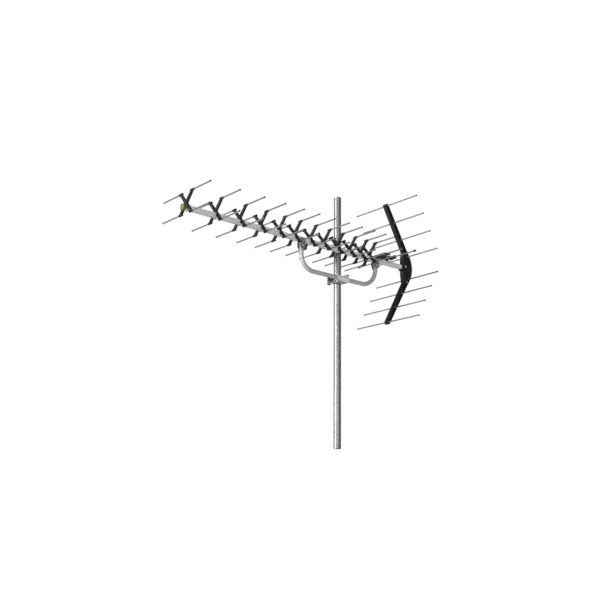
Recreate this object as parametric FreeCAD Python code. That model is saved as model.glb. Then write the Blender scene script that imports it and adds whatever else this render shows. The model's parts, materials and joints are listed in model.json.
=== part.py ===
import FreeCAD, Part
import math
import os

from FreeCAD import Vector

# A UHF television antenna clamped to a short mast. Millimetres, +Z up.
# The origin is the centre of the mast's lower end, the mast runs along +Z,
# and the boom points along +X, with the reflector at its rear end.

# Mast
mast_diameter = 31.8
mast_wall = 1.6
mast_length = 1100.0
boom_height = 848.0

# Boom, a square tube
boom_side = 19.0
boom_wall = 1.2
boom_corner = 1.5
station_x = [806.0, 670.0, 553.0, 448.0, 352.0, 269.0, 184.0, 106.0, 30.0, -44.0, -111.0, -165.0]
front_overhang = 17.0
cap_skirt = 11.0
cap_wall = 1.6
cap_end = 2.0

# Director holders and their half rods, with heights measured from the boom's axis
rod_diameter = 6.0
rod_reach = 158.0
upper_tip_y = 38.6
upper_tip_z = 62.0
lower_tip_y = 35.3
lower_tip_z = -22.6
crossing_above_boom = 8.0
holder_depth = 9.0
bar_root_width = 12.0
bar_tip_width = 9.5
saddle_wall = 5.0
saddle_leg = 6.0
saddle_rise = 12.5
saddle_crown_half = 7.2
sleeve_wall = 1.75
sleeve_inward = 11.0
sleeve_outward = 10.0
socket_inward = 6.0
window_height = 4.0
window_inset = 1.0
pocket_depth = 2.5
pocket_rim = 2.0
upper_pocket_start = 12.0
lower_pocket_start = 27.5
eye_half = 3.4
eye_floor = 0.5
eye_length = 15.0
gusset_thickness = 4.0
gusset_run = 20.0
tail_length = 18.0
tail_width = 9.0
tail_height = 3.0
end_plug_lip = 0.7
end_plug_head = 1.2

# Tubular rivets under the boom
rivet_shank = 4.0
rivet_barrel = 8.5
rivet_barrel_height = 5.5
rivet_eye = 3.6
rivet_eye_depth = 4.0
rivet_bite = 7.0

# Support arm, a bent round tube under the boom
arm_wall = 1.5
arm_front_x = 231.0
arm_rear_x = -202.0
arm_front_bend = 65.0
arm_rear_bend = 84.0
arm_leg_straight = 41.0
arm_end_gap = 1.0
arm_sides = 16
cheek_thickness = 2.0
cheek_radius = 14.0
cheek_top = 8.0
cheek_top_half = 11.0
cross_bolt_below_boom = 16.5
cheek_rivet_diameter = 5.0
cheek_rivet_head = 9.0
cheek_rivet_head_height = 2.2

# Bolts and wing nuts
bolt_diameter = 6.0
bolt_head_lip = 3.0
bolt_head_height = 4.0
bolt_tail = 3.0
nut_hub_wall = 1.8
nut_hub_height = 7.0
wing_span = 28.0
wing_rise = 12.0
wing_thickness = 2.6
wing_root = 3.5
wing_tip = 9.0
wing_foot = 0.8
wing_bevel = 1.0
wing_tilt = 20.0

# Mast clamp
clamp_sheet = 2.0
clamp_bolt_beside_mast = 10.1
clamp_bolt_beside_arm = 5.0
clamp_edge_margin = 8.0
clamp_rim_margin = 5.0
clamp_ear_slope = 8.0
clamp_bolt_head_lip = 2.0
clamp_flange_gap = 0.5
jaw_half_gap = 3.0
land_gap = 2.0
jaw_half_angle = 52.0
jaw_clearance = 0.25
tooth_count = 6
tooth_depth = 1.7
mast_to_clamp_gap = 2.0

# Feed housing, driven rod pair and coupling rod
driven_rod_x = -272.0
coupling_rod_ahead = 60.5
coupling_reach = 155.0
driven_reach = 182.0
driven_inner_y = 8.0
lip_front = 3.0
wing_back = 8.0
wing_half_height = 7.5
feed_foot_height = 1.5
front_wing_low = 80.0
front_wing_high = 55.0
rear_wing_low = 57.0
rear_wing_high = 45.0
feed_side_beyond_boom = 5.5
feed_side_beyond_coax = 10.0
feed_wide_length = 22.0
feed_rear_margin = 12.0
feed_wall = 2.5
feed_floor = 2.5
cover_thickness = 2.0
board_thickness = 1.6
contact_wall = 1.2
contact_width = 5.0
driven_cap_side_wall = 1.5
driven_cap_length = 14.0
driven_cap_wall = 2.0

# Coaxial output
coax_ahead_of_rod = 2.0
coax_beside_boom = 10.5
coax_barrel_diameter = 9.5
coax_barrel_length = 10.0
coax_flange_diameter = 14.0
coax_flange_height = 2.5
coax_stub_diameter = 8.0
coax_stub_rise = 0.8
coax_socket = 3.0
coax_socket_depth = 6.0

# Reflector: two arms that lean forward from one corner behind the boom
reflector_corner_x = -432.5
reflector_lean = 30.0
first_rod_distance = 62.2
reflector_pitch = 84.3
reflector_rods_each = 4
reflector_rod_half = 189.7
reflector_arm_width = 24.0
reflector_arm_tip_width = 19.0
reflector_arm_thickness = 20.0
reflector_tip_margin = 10.0
bracket_past_rod = 25.8
bracket_side_wall = 2.5
bracket_depth = 59.5
bracket_nose_length = 9.0
bracket_nose_wall = 7.5
bracket_nose_chamfer = 3.0
bracket_shoulder_rise = 17.0
bracket_radius = 109.0
boom_rear_setback = 20.5
tongue_length = 18.0
tongue_thickness = 12.0
reflector_pocket_depth = 4.0
bracket_pocket_depth = 2.0
reflector_flange = 3.5
rod_boss_half = 8.0
reflector_bolt_ahead = 27.0
reflector_bolt_rise = 4.0
reflector_screw_diameter = 4.0
reflector_screw_lip = 2.0
reflector_screw_head_height = 2.2
rib_width = 3.0

# Clearances
rod_clearance = 0.1
slip_clearance = 0.2
hole_clearance = 0.2

# Worked out: the cheeks lie flat on boom and arm, so both are as wide
arm_diameter = boom_side
half_boom = boom_side / 2
boom_y = mast_diameter / 2 + mast_to_clamp_gap + clamp_sheet + arm_diameter / 2
boom_front_x = station_x[0] + front_overhang
rod_radius = rod_diameter / 2
crossing_rise = half_boom + crossing_above_boom
sleeve_flats = rod_diameter + 2 * sleeve_wall
arm_drop = arm_rear_bend + arm_leg_straight
cross_bolt_drop = half_boom + cross_bolt_below_boom
bolt_head_diameter = bolt_diameter + 2 * bolt_head_lip
clamp_bolt_x = mast_diameter / 2 + clamp_bolt_beside_mast
clamp_bolt_z = arm_diameter / 2 + clamp_sheet + clamp_bolt_beside_arm
clamp_half_length = clamp_bolt_x + clamp_edge_margin
clamp_half_height = clamp_bolt_z + clamp_rim_margin
clamp_low_half = clamp_bolt_z - bolt_diameter / 2 - clamp_flange_gap
feed_rod_z = half_boom + feed_foot_height + wing_half_height
coupling_rod_x = driven_rod_x + coupling_rod_ahead
coax_x = driven_rod_x + coax_ahead_of_rod
coax_y = half_boom + coax_beside_boom
feed_half_width = half_boom + feed_side_beyond_boom
feed_wide_half = coax_y + feed_side_beyond_coax
bracket_end_distance = first_rod_distance + bracket_past_rod
bracket_half = half_boom + bracket_side_wall
bracket_front_x = reflector_corner_x + bracket_depth
bracket_nose_x = bracket_front_x + bracket_nose_length
bracket_nose_half = half_boom + bracket_nose_wall
boom_rear_x = reflector_corner_x + boom_rear_setback
reflector_bolt_x = boom_rear_x + reflector_bolt_ahead
last_rod_distance = first_rod_distance + (reflector_rods_each - 1) * reflector_pitch
reflector_end_distance = last_rod_distance + reflector_tip_margin
X_AXIS = Vector(1, 0, 0)
Y_AXIS = Vector(0, 1, 0)
Z_AXIS = Vector(0, 0, 1)
beyond = 2 * reflector_rod_half


def block(x0, x1, y0, y1, z0, z1):
    return Part.makeBox(x1 - x0, y1 - y0, z1 - z0, Vector(x0, y0, z0))


def rod_between(radius, start, end):
    axis = end - start
    return Part.makeCylinder(radius, axis.Length, start, axis)


def prism_along_x(outline, x0, x1):
    points = [Vector(x0, y, z) for y, z in outline]
    face = Part.Face(Part.makePolygon(points + points[:1]))
    return face.extrude(X_AXIS * (x1 - x0))


def prism_along_y(outline, y0, y1):
    points = [Vector(x, y0, z) for x, z in outline]
    face = Part.Face(Part.makePolygon(points + points[:1]))
    return face.extrude(Y_AXIS * (y1 - y0))


def prism_along_z(outline, z0, z1):
    points = [Vector(x, y, z0) for x, y in outline]
    face = Part.Face(Part.makePolygon(points + points[:1]))
    return face.extrude(Z_AXIS * (z1 - z0))


def polygon(sides, flats):
    # A regular outline about the origin, flats across, with a flat at each end.
    half_side = math.pi / sides
    radius = flats / 2 / math.cos(half_side)
    angles = [half_side * (2 * k + 1) for k in range(sides)]
    return [(radius * math.cos(a), radius * math.sin(a)) for a in angles]


def eight_sided(flats, start, end):
    # A bar with eight sides, for the small rounds that repeat scores of times and what fits them.
    axis = end - start
    turn = FreeCAD.Rotation(Z_AXIS, axis)
    points = [start + turn.multVec(Vector(x, y, 0)) for x, y in polygon(8, flats)]
    return Part.Face(Part.makePolygon(points + points[:1])).extrude(axis)


def octagonal_bar_y(flats, y0, y1, z):
    return eight_sided(flats, Vector(0, y0, z), Vector(0, y1, z))


def joined(shapes):
    return shapes[0].multiFuse(shapes[1:]).removeSplitter()


def mirrored_y(shape):
    return shape.mirror(Vector(0, 0, 0), Y_AXIS)


def mirrored_z(shape):
    return shape.mirror(Vector(0, 0, 0), Z_AXIS)


def moved(shape, x=0.0, y=0.0, z=0.0):
    copy = shape.copy()
    copy.translate(Vector(x, y, z))
    return copy


def save(name, solids):
    shape = solids[0] if len(solids) == 1 else Part.makeCompound(solids)
    shape.exportStep("parts/" + name + ".step")


def save_on_boom(name, solids):
    save(name, [moved(solid, y=boom_y, z=boom_height) for solid in solids])


def mast_pipe():
    outer = Part.makeCylinder(mast_diameter / 2, mast_length)
    bore = Part.makeCylinder(mast_diameter / 2 - mast_wall, mast_length)
    return outer.cut(bore)


def square_tube(side, corner, x0, x1):
    half = side / 2
    bar = block(x0, x1, -half, half, -half, half)
    edges = [e for e in bar.Edges if abs(e.tangentAt(e.FirstParameter).x) > 0.9]
    return bar.makeFillet(corner, edges)


def boom():
    outer = square_tube(boom_side, boom_corner, boom_rear_x, boom_front_x)
    hollow = block(boom_rear_x, boom_front_x, boom_wall - half_boom, half_boom - boom_wall,
                   boom_wall - half_boom, half_boom - boom_wall)
    cuts = [hollow]
    for x in station_x:
        low = Vector(x, 0, -half_boom - beyond)
        high = Vector(x, 0, half_boom + beyond)
        cuts.append(eight_sided(rivet_shank + hole_clearance, low, high))
    for x in (arm_front_x, arm_rear_x):
        cuts.append(cross_hole(cheek_rivet_diameter + hole_clearance, x, 0.0))
    cuts.append(cross_hole(bolt_diameter + hole_clearance, reflector_bolt_x, reflector_bolt_rise))
    return outer.cut(cuts)


def cross_hole(flats, x, z):
    # A hole along Y, eight-sided as the rods, rivets and bolts are.
    return eight_sided(flats, Vector(x, -beyond, z), Vector(x, beyond, z))


def boom_front_cap():
    inner_side = boom_side + slip_clearance
    outer_side = inner_side + 2 * cap_wall
    outer = square_tube(outer_side, boom_corner, boom_front_x - cap_skirt, boom_front_x + cap_end)
    half = inner_side / 2
    return outer.cut(block(boom_front_x - cap_skirt, boom_front_x, -half, half, -half, half))


def bar_point(root, tip, distance, offset):
    # A point beside the line from root to tip, at a distance along it.
    length = math.hypot(tip[0] - root[0], tip[1] - root[1])
    along = ((tip[0] - root[0]) / length, (tip[1] - root[1]) / length)
    return (root[0] + along[0] * distance - along[1] * offset,
            root[1] + along[1] * distance + along[0] * offset)


def tapered_bar(root, tip, root_half, tip_half, start, end):
    # The four corners of a bar's face, from start to end along the line root to tip.
    length = math.hypot(tip[0] - root[0], tip[1] - root[1])
    near = root_half + (tip_half - root_half) * start / length
    far = root_half + (tip_half - root_half) * end / length
    return [bar_point(root, tip, start, near), bar_point(root, tip, end, far),
            bar_point(root, tip, end, -far), bar_point(root, tip, start, -near)]


def lower_eye(root, tip):
    # A three-sided hole right through a lower arm, with its base along the sleeve.
    rise = sleeve_flats / 2 + eye_floor
    base_y = tip[0] + (root[0] - tip[0]) * rise / (root[1] - tip[1])
    base_z = tip[1] + rise
    length = math.hypot(tip[0] - root[0], tip[1] - root[1])
    apex = bar_point(root, tip, length - eye_length, 0.0)
    return prism_along_x([(base_y - eye_half, base_z), (base_y + eye_half, base_z), apex],
                         -holder_depth, holder_depth)


def holder_arm(tip, pocket_start):
    # One arm of a holder: bar, sleeve for the half rod and the gusset between them.
    root = (0.0, crossing_rise)
    length = math.hypot(tip[0] - root[0], tip[1] - root[1])
    half = holder_depth / 2
    outline = tapered_bar(root, tip, bar_root_width / 2, bar_tip_width / 2, 0.0, length)
    bar = prism_along_x(outline, -half, half)
    sleeve = octagonal_bar_y(sleeve_flats, tip[0] - sleeve_inward, tip[0] + sleeve_outward, tip[1])
    side = -1 if tip[1] > crossing_rise else 1
    back = (length - gusset_run) / length
    heel = (tip[0] * back, root[1] + (tip[1] - root[1]) * back)
    toe = (tip[0] + sleeve_outward - rod_radius, tip[1] + side * sleeve_flats / 2)
    gusset = prism_along_x([heel, toe, tip], -gusset_thickness / 2, gusset_thickness / 2)
    arm = joined([bar, sleeve, gusset])
    pocket_outline = tapered_bar(root, tip, bar_root_width / 2 - pocket_rim, bar_tip_width / 2 - pocket_rim,
                                 pocket_start, length - sleeve_flats)
    floor_x = half - pocket_depth
    pockets = [prism_along_x(pocket_outline, floor_x, half + pocket_depth),
               prism_along_x(pocket_outline, -half - pocket_depth, -floor_x)]
    socket = octagonal_bar_y(rod_diameter + rod_clearance, tip[0] - socket_inward,
                             tip[0] + sleeve_outward, tip[1])
    window = block(0, holder_depth, tip[0] - socket_inward + window_inset, tip[0],
                   tip[1] - window_height / 2, tip[1] + window_height / 2)
    cuts = pockets + [socket, window]
    if tip[1] < crossing_rise:
        cuts.append(lower_eye(root, tip))
    return arm.cut(cuts)


def director_holder():
    # An X-shaped moulding that stands astride the boom, in boom axes at x = 0.
    half = holder_depth / 2
    arms = [holder_arm((upper_tip_y, upper_tip_z), upper_pocket_start),
            holder_arm((lower_tip_y, lower_tip_z), lower_pocket_start)]
    arms += [mirrored_y(arm) for arm in arms]
    side = half_boom + saddle_wall
    top = half_boom + saddle_rise
    saddle = prism_along_x([(-side, -saddle_leg), (-side, half_boom), (-saddle_crown_half, top),
                            (saddle_crown_half, top), (side, half_boom), (side, -saddle_leg)], -half, half)
    tail = block(-half - tail_length, 0, -tail_width / 2, tail_width / 2,
                 half_boom, half_boom + tail_height)
    notch = block(-beyond, beyond, -half_boom, half_boom, -beyond, half_boom)
    rivet_seat = eight_sided(rivet_shank + hole_clearance, Vector(0, 0, 0),
                             Vector(0, 0, half_boom + rivet_bite))
    return joined(arms + [saddle, tail]).cut([notch, rivet_seat])


def half_rod(tip):
    start = Vector(0, tip[0] - socket_inward, tip[1])
    return eight_sided(rod_diameter, start, Vector(0, rod_reach - end_plug_head, tip[1]))


def end_plug(x, reach, z):
    # The plug that closes a rod's end: only its flat head shows.
    return eight_sided(rod_diameter + 2 * end_plug_lip, Vector(x, reach - end_plug_head, z),
                       Vector(x, reach, z))


def four_ways(make):
    # Upper and lower, right and left copies of what make builds for a tip.
    right = [make((upper_tip_y, upper_tip_z)), make((lower_tip_y, lower_tip_z))]
    return right + [mirrored_y(solid) for solid in right]


def half_rod_plug(tip):
    return end_plug(0.0, rod_reach, tip[1])


def holder_rivet():
    # A tubular rivet: open barrel below the boom, shank up into the holder.
    barrel_low = -half_boom - rivet_barrel_height
    barrel = eight_sided(rivet_barrel, Vector(0, 0, barrel_low), Vector(0, 0, -half_boom))
    shank = eight_sided(rivet_shank, Vector(0, 0, -half_boom), Vector(0, 0, half_boom + rivet_bite))
    eye = eight_sided(rivet_eye, Vector(0, 0, barrel_low), Vector(0, 0, barrel_low + rivet_eye_depth))
    return barrel.fuse(shank).cut(eye)


def bent_bar(section):
    # The arm's form for one section face at the origin: leg, bend, run under the boom, bend, leg.
    top_z = -half_boom - arm_end_gap
    pieces = []
    ends = []
    for x, radius, side in ((arm_front_x, arm_front_bend, 1), (arm_rear_x, arm_rear_bend, -1)):
        centre = Vector(x - side * radius, 0, radius - arm_drop)
        foot = moved(section, x, 0, centre.z)
        pieces.append(foot.extrude(Vector(0, 0, top_z - centre.z)))
        pieces.append(foot.revolve(centre, Y_AXIS, side * 90))
        ends.append(centre.x)
    run = section.copy()
    run.rotate(Vector(0, 0, 0), Y_AXIS, 90)
    run.translate(Vector(ends[1], 0, -arm_drop))
    pieces.append(run.extrude(Vector(ends[0] - ends[1], 0, 0)))
    return joined([outward(piece) for piece in pieces])


def outward(solid):
    if solid.Volume < 0:
        solid.reverse()
    return solid


def many_sided_face(sides, flats):
    rim = [Vector(x, y, 0) for x, y in polygon(sides, flats)]
    return Part.Face(Part.makePolygon(rim + rim[:1]))


def support_arm():
    # The tube's section has many short sides, because round bends would double the model's facets.
    outer = bent_bar(many_sided_face(arm_sides, arm_diameter * math.cos(math.pi / arm_sides)))
    inner = bent_bar(many_sided_face(8, arm_diameter - 2 * arm_wall))
    holes = [cross_hole(bolt_diameter + hole_clearance, x, -cross_bolt_drop)
             for x in (arm_front_x, arm_rear_x)]
    return outer.cut([inner] + holes)


def cheek(x):
    # A side plate that hangs from the boom and holds the arm's end, on the +Y side.
    inner = half_boom
    outer = half_boom + cheek_thickness
    disc = rod_between(cheek_radius, Vector(x, inner, -cross_bolt_drop), Vector(x, outer, -cross_bolt_drop))
    plate = prism_along_y([(x - cheek_radius, -cross_bolt_drop), (x + cheek_radius, -cross_bolt_drop),
                           (x + cheek_top_half, cheek_top), (x - cheek_top_half, cheek_top)], inner, outer)
    holes = [cross_hole(bolt_diameter + hole_clearance, x, -cross_bolt_drop),
             cross_hole(cheek_rivet_diameter + hole_clearance, x, 0.0)]
    return disc.fuse(plate).removeSplitter().cut(holes)


def cheek_rivet(x):
    face_y = half_boom + cheek_thickness
    top_y = face_y + cheek_rivet_head_height
    shank = eight_sided(cheek_rivet_diameter, Vector(x, -face_y, 0), Vector(x, face_y, 0))
    heads = [eight_sided(cheek_rivet_head, Vector(x, side * face_y, 0), Vector(x, side * top_y, 0))
             for side in (-1, 1)]
    return joined([shank] + heads)


def cross_bolt(x):
    # The bolt through both cheeks and the arm's end, its round head on the +Y side.
    face_y = half_boom + cheek_thickness
    end_y = -face_y - nut_hub_height - bolt_tail
    z = -cross_bolt_drop
    shank = eight_sided(bolt_diameter, Vector(x, end_y, z), Vector(x, face_y, z))
    head = rod_between(bolt_head_diameter / 2, Vector(x, face_y, z), Vector(x, face_y + bolt_head_height, z))
    return shank.fuse(head)


def wing_nut(tilt):
    # A nut with two wings, seated at z = 0 and facing +Z, with its wings turned from X by a tilt.
    hub = eight_sided(bolt_diameter + 2 * nut_hub_wall, Vector(0, 0, 0), Vector(0, 0, nut_hub_height))
    shoulder = nut_hub_height - wing_bevel
    outline = [(0, wing_foot), (wing_root, wing_foot), (wing_span / 2, shoulder), (wing_span / 2, wing_rise),
               (wing_tip, wing_rise - wing_bevel), (wing_root, shoulder), (0, shoulder)]
    half = wing_thickness / 2
    wing = prism_along_y(outline, -half, half)
    wings = [wing, wing.mirror(Vector(0, 0, 0), X_AXIS)]
    bore = eight_sided(bolt_diameter + rod_clearance, Vector(0, 0, 0), Vector(0, 0, wing_rise))
    for part in wings:
        part.rotate(Vector(0, 0, 0), Z_AXIS, tilt)
    return joined([hub] + wings).cut(bore)


def wing_nut_on(seat, facing, tilt):
    nut = wing_nut(tilt)
    nut.rotate(Vector(0, 0, 0), X_AXIS, -90 * facing)
    nut.translate(seat)
    return nut


def jaw_flange():
    # A toothed V in plan, open towards -Y, for the front half of the mast.
    reach = mast_diameter / 2 + jaw_clearance
    half_angle = math.radians(jaw_half_angle)
    apex_y = reach / math.sin(half_angle)
    face_length = (apex_y - jaw_half_gap) / math.cos(half_angle)
    along = (math.sin(half_angle), -math.cos(half_angle))
    outward = (math.cos(half_angle), math.sin(half_angle))
    pitch = face_length / tooth_count
    right = [(0.0, apex_y + tooth_depth)]
    for k in range(tooth_count):
        tip = (k + 0.5) * pitch
        root = (k + 1) * pitch
        right.append((along[0] * tip, apex_y + along[1] * tip))
        right.append((along[0] * root + outward[0] * tooth_depth,
                      apex_y + along[1] * root + outward[1] * tooth_depth))
    right.pop()
    right.append((along[0] * face_length, jaw_half_gap))
    back_y = boom_y - land_gap / 2
    right += [(clamp_half_length, jaw_half_gap), (clamp_half_length, back_y)]
    left = [(-x, y) for x, y in reversed(right[1:])]
    low = prism_along_z(right + left, -clamp_low_half, clamp_sheet - clamp_low_half)
    return [low, mirrored_z(low)]


def clamp_plate(y0, y1):
    # A plate that is low over most of its length, with a taller ear at each bolt.
    inner = clamp_bolt_x - clamp_edge_margin
    upper = [(-clamp_half_length, clamp_half_height), (-inner, clamp_half_height),
             (clamp_ear_slope - inner, clamp_low_half), (clamp_half_length, clamp_low_half)]
    return prism_along_y(upper + [(-x, -z) for x, z in upper], y0, y1)


def arm_trough(facing):
    # Half of a sleeve round the arm, with flat lands above and below, in boom axes.
    inner_radius = (arm_diameter + rod_clearance) / 2
    start = Vector(-clamp_half_length, boom_y, 0)
    end = Vector(clamp_half_length, boom_y, 0)
    ring = rod_between(inner_radius + clamp_sheet, start, end)
    near = boom_y + facing * land_gap / 2
    far = boom_y + facing * (land_gap / 2 + clamp_sheet)
    lands = clamp_plate(min(near, far), max(near, far))
    outer_radius = inner_radius + clamp_sheet
    crest = boom_y + facing * outer_radius
    side = block(-clamp_half_length, clamp_half_length, min(near, crest), max(near, crest),
                 -outer_radius, outer_radius)
    shell = ring.common(side).fuse(lands).removeSplitter()
    return shell.cut(rod_between(inner_radius, start, end))


def clamp_bolt_centres():
    return [(-clamp_bolt_x, clamp_bolt_z), (clamp_bolt_x, -clamp_bolt_z)]


def clamp_bolt_holes():
    return [cross_hole(bolt_diameter + hole_clearance, x, z) for x, z in clamp_bolt_centres()]


def clamp_saddle():
    body = joined([arm_trough(-1)] + jaw_flange())
    return body.cut(clamp_bolt_holes())


def clamp_keeper():
    return arm_trough(1).cut(clamp_bolt_holes())


def clamp_jaw():
    back_y = boom_y - land_gap / 2
    flanges = [mirrored_y(flange) for flange in jaw_flange()]
    web = clamp_plate(-back_y, clamp_sheet - back_y)
    return joined([web] + flanges).cut(clamp_bolt_holes())


def clamp_bolt(x, z):
    back = -(boom_y - land_gap / 2)
    end = boom_y + land_gap / 2 + clamp_sheet + nut_hub_height + bolt_tail
    shank = eight_sided(bolt_diameter, Vector(x, back, z), Vector(x, end, z))
    flats = bolt_diameter + 2 * clamp_bolt_head_lip
    head = eight_sided(flats, Vector(x, back, z), Vector(x, back - bolt_head_height, z))
    return shank.fuse(head)


def feed_wing(rod_x, low, high):
    # A channel open to the front that holds a rod, longer below than above.
    z0 = feed_rod_z - wing_half_height
    z1 = feed_rod_z + wing_half_height
    outline = [(-low, z0), (low, z0), (low, z0 + wing_half_height / 2), (high, z1), (-high, z1),
               (-low, z0 + wing_half_height / 2)]
    return prism_along_x(outline, rod_x - wing_back, rod_x + lip_front)


def rod_slot(rod_x, y0, y1):
    half = (rod_diameter + rod_clearance) / 2
    return block(rod_x - half, rod_x + lip_front, y0, y1, feed_rod_z - half, feed_rod_z + half)


def feed_plan(margin):
    # The housing's outline in plan, drawn in from its outer edge by a margin.
    rear = driven_rod_x - feed_rear_margin + margin
    front = coupling_rod_x - wing_back - margin
    step = rear + feed_wide_length - 2 * margin
    narrow = feed_half_width - margin
    wide = feed_wide_half - margin
    return [(rear, -wide), (step, -wide), (step, -narrow), (front, -narrow), (front, narrow),
            (step, narrow), (step, wide), (rear, wide)]


def feed_housing():
    top = feed_rod_z + wing_half_height
    low = feed_rod_z - wing_half_height
    body = prism_along_z(feed_plan(0.0), low, top)
    foot = block(driven_rod_x - feed_rear_margin, coupling_rod_x + lip_front,
                 -half_boom, half_boom, half_boom, low)
    nose = block(coupling_rod_x - wing_back, coupling_rod_x + lip_front, -feed_half_width, feed_half_width,
                 low, top)
    wings = [feed_wing(coupling_rod_x, front_wing_low, front_wing_high),
             feed_wing(driven_rod_x, rear_wing_low, rear_wing_high)]
    cavity = prism_along_z(feed_plan(feed_wall), low + feed_floor, top)
    cuts = [cavity,
            rod_slot(coupling_rod_x, -beyond, beyond),
            rod_slot(driven_rod_x, feed_wide_half, beyond),
            rod_slot(driven_rod_x, -beyond, -feed_wide_half),
            cross_hole(rod_diameter + rod_clearance, driven_rod_x, feed_rod_z),
            rod_between((coax_stub_diameter + hole_clearance) / 2, Vector(coax_x, coax_y, 0),
                        Vector(coax_x, coax_y, low + feed_floor))]
    return joined([body, foot, nose] + wings).cut(cuts)


def feed_cover():
    top = feed_rod_z + wing_half_height
    plate = prism_along_z(feed_plan(0.0), top, top + cover_thickness)
    lip = prism_along_z(feed_plan(feed_wall + slip_clearance), top - cover_thickness, top)
    relief = prism_along_z(feed_plan(2 * feed_wall), top - cover_thickness, top)
    return plate.fuse(lip.cut(relief)).removeSplitter()


def board_top():
    return feed_rod_z - wing_half_height + feed_floor + board_thickness


def feed_board():
    floor = board_top() - board_thickness
    board = prism_along_z(feed_plan(feed_wall + 2 * slip_clearance), floor, board_top())
    pin_hole = rod_between(coax_stub_diameter / 2 + slip_clearance, Vector(coax_x, coax_y, floor),
                           Vector(coax_x, coax_y, board_top()))
    return board.cut(pin_hole)


def feed_contact():
    # A spring clip on the board that takes the inner end of a driven rod.
    half = rod_radius + rod_clearance / 2
    outer = half + contact_wall
    y0 = driven_inner_y
    clip = block(driven_rod_x - outer, driven_rod_x + outer, y0, y0 + contact_width,
                 board_top(), feed_rod_z + half)
    slot = block(driven_rod_x - half, driven_rod_x + half, y0, y0 + contact_width,
                 feed_rod_z - half, feed_rod_z + half)
    return clip.cut(slot)


def coupling_rod():
    return eight_sided(rod_diameter, Vector(coupling_rod_x, -coupling_reach, feed_rod_z),
                       Vector(coupling_rod_x, coupling_reach, feed_rod_z))


def driven_rod():
    return eight_sided(rod_diameter, Vector(driven_rod_x, driven_inner_y, feed_rod_z),
                       Vector(driven_rod_x, driven_reach - driven_cap_wall, feed_rod_z))


def driven_rod_cap():
    # A long blind cap pushed on a driven rod's outer end.
    mouth = Vector(driven_rod_x, driven_reach - driven_cap_length, feed_rod_z)
    outer = eight_sided(rod_diameter + 2 * driven_cap_side_wall, mouth,
                        Vector(driven_rod_x, driven_reach, feed_rod_z))
    bore = eight_sided(rod_diameter + rod_clearance, mouth,
                       Vector(driven_rod_x, driven_reach - driven_cap_wall, feed_rod_z))
    return outer.cut(bore)


def coax_connector():
    # A round bulkhead socket that points down from the feed housing's floor.
    floor = feed_rod_z - wing_half_height
    flange_low = floor - coax_flange_height
    tip = flange_low - coax_barrel_length
    stub = rod_between(coax_stub_diameter / 2, Vector(coax_x, coax_y, floor),
                       Vector(coax_x, coax_y, floor + feed_floor + coax_stub_rise))
    hexagon = [(coax_x + x, coax_y + y) for x, y in polygon(6, coax_flange_diameter)]
    flange = prism_along_z(hexagon, flange_low, floor)
    barrel = rod_between(coax_barrel_diameter / 2, Vector(coax_x, coax_y, tip),
                         Vector(coax_x, coax_y, flange_low))
    socket = rod_between(coax_socket / 2, Vector(coax_x, coax_y, tip),
                         Vector(coax_x, coax_y, tip + coax_socket_depth))
    return joined([stub, flange, barrel]).cut(socket)


def leaned(shape):
    # From arm axes (x to the front, z along the arm) to the upper arm's place.
    shape.rotate(Vector(0, 0, 0), Y_AXIS, reflector_lean)
    shape.translate(Vector(reflector_corner_x, 0, 0))
    return shape


def leaned_back(shape):
    # From the upper arm's place to arm axes.
    shape.translate(Vector(-reflector_corner_x, 0, 0))
    shape.rotate(Vector(0, 0, 0), Y_AXIS, -reflector_lean)
    return shape


def arm_point(front, along):
    lean = math.radians(reflector_lean)
    return (reflector_corner_x + front * math.cos(lean) + along * math.sin(lean),
            -front * math.sin(lean) + along * math.cos(lean))


def reflector_rod_places():
    places = []
    for n in range(reflector_rods_each):
        places.append(arm_point(0.0, first_rod_distance + n * reflector_pitch))
    return places


def reflector_rod_heights():
    # All rods from the top one down.
    upper = reflector_rod_places()
    return list(reversed(upper)) + [(x, -z) for x, z in upper]


def arm_half_width(along):
    share = (along - bracket_end_distance) / (reflector_end_distance - bracket_end_distance)
    root = reflector_arm_width / 2
    return root + (reflector_arm_tip_width / 2 - root) * share


def reflector_arm():
    # The upper arm: a tapered beam with side pockets between bosses for the rods.
    start = bracket_end_distance
    end = reflector_end_distance
    half = reflector_arm_thickness / 2
    root = arm_half_width(start)
    tip = arm_half_width(end)
    chamfer = tip / 2
    outline = [(-root, start), (root, start), (tip, end - chamfer), (tip - chamfer, end),
               (chamfer - tip, end), (-tip, end - chamfer)]
    beam = prism_along_y(outline, -half, half)
    tongue_half = root - reflector_flange - slip_clearance
    tongue_y = (tongue_thickness - slip_clearance) / 2
    tongue = block(-tongue_half, tongue_half, -tongue_y, tongue_y, start - tongue_length, start)
    screw_place = arm_point(0.0, start - tongue_length / 2)
    cuts = [leaned_back(cross_hole(reflector_screw_diameter + hole_clearance, *screw_place))]
    for n in range(1, reflector_rods_each):
        rod_at = first_rod_distance + n * reflector_pitch
        cuts.append(leaned_back(cross_hole(rod_diameter + rod_clearance, *arm_point(0.0, rod_at))))
        pocket_start = max(rod_at - reflector_pitch + rod_boss_half, start + reflector_flange)
        pocket_end = rod_at - rod_boss_half
        near = arm_half_width(pocket_start) - reflector_flange
        far = arm_half_width(pocket_end) - reflector_flange
        pocket = [(-near, pocket_start), (near, pocket_start), (far, pocket_end), (-far, pocket_end)]
        cuts.append(prism_along_y(pocket, half - reflector_pocket_depth, beyond))
        cuts.append(prism_along_y(pocket, -beyond, reflector_pocket_depth - half))
    return leaned(beam.fuse(tongue).cut(cuts))


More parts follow.
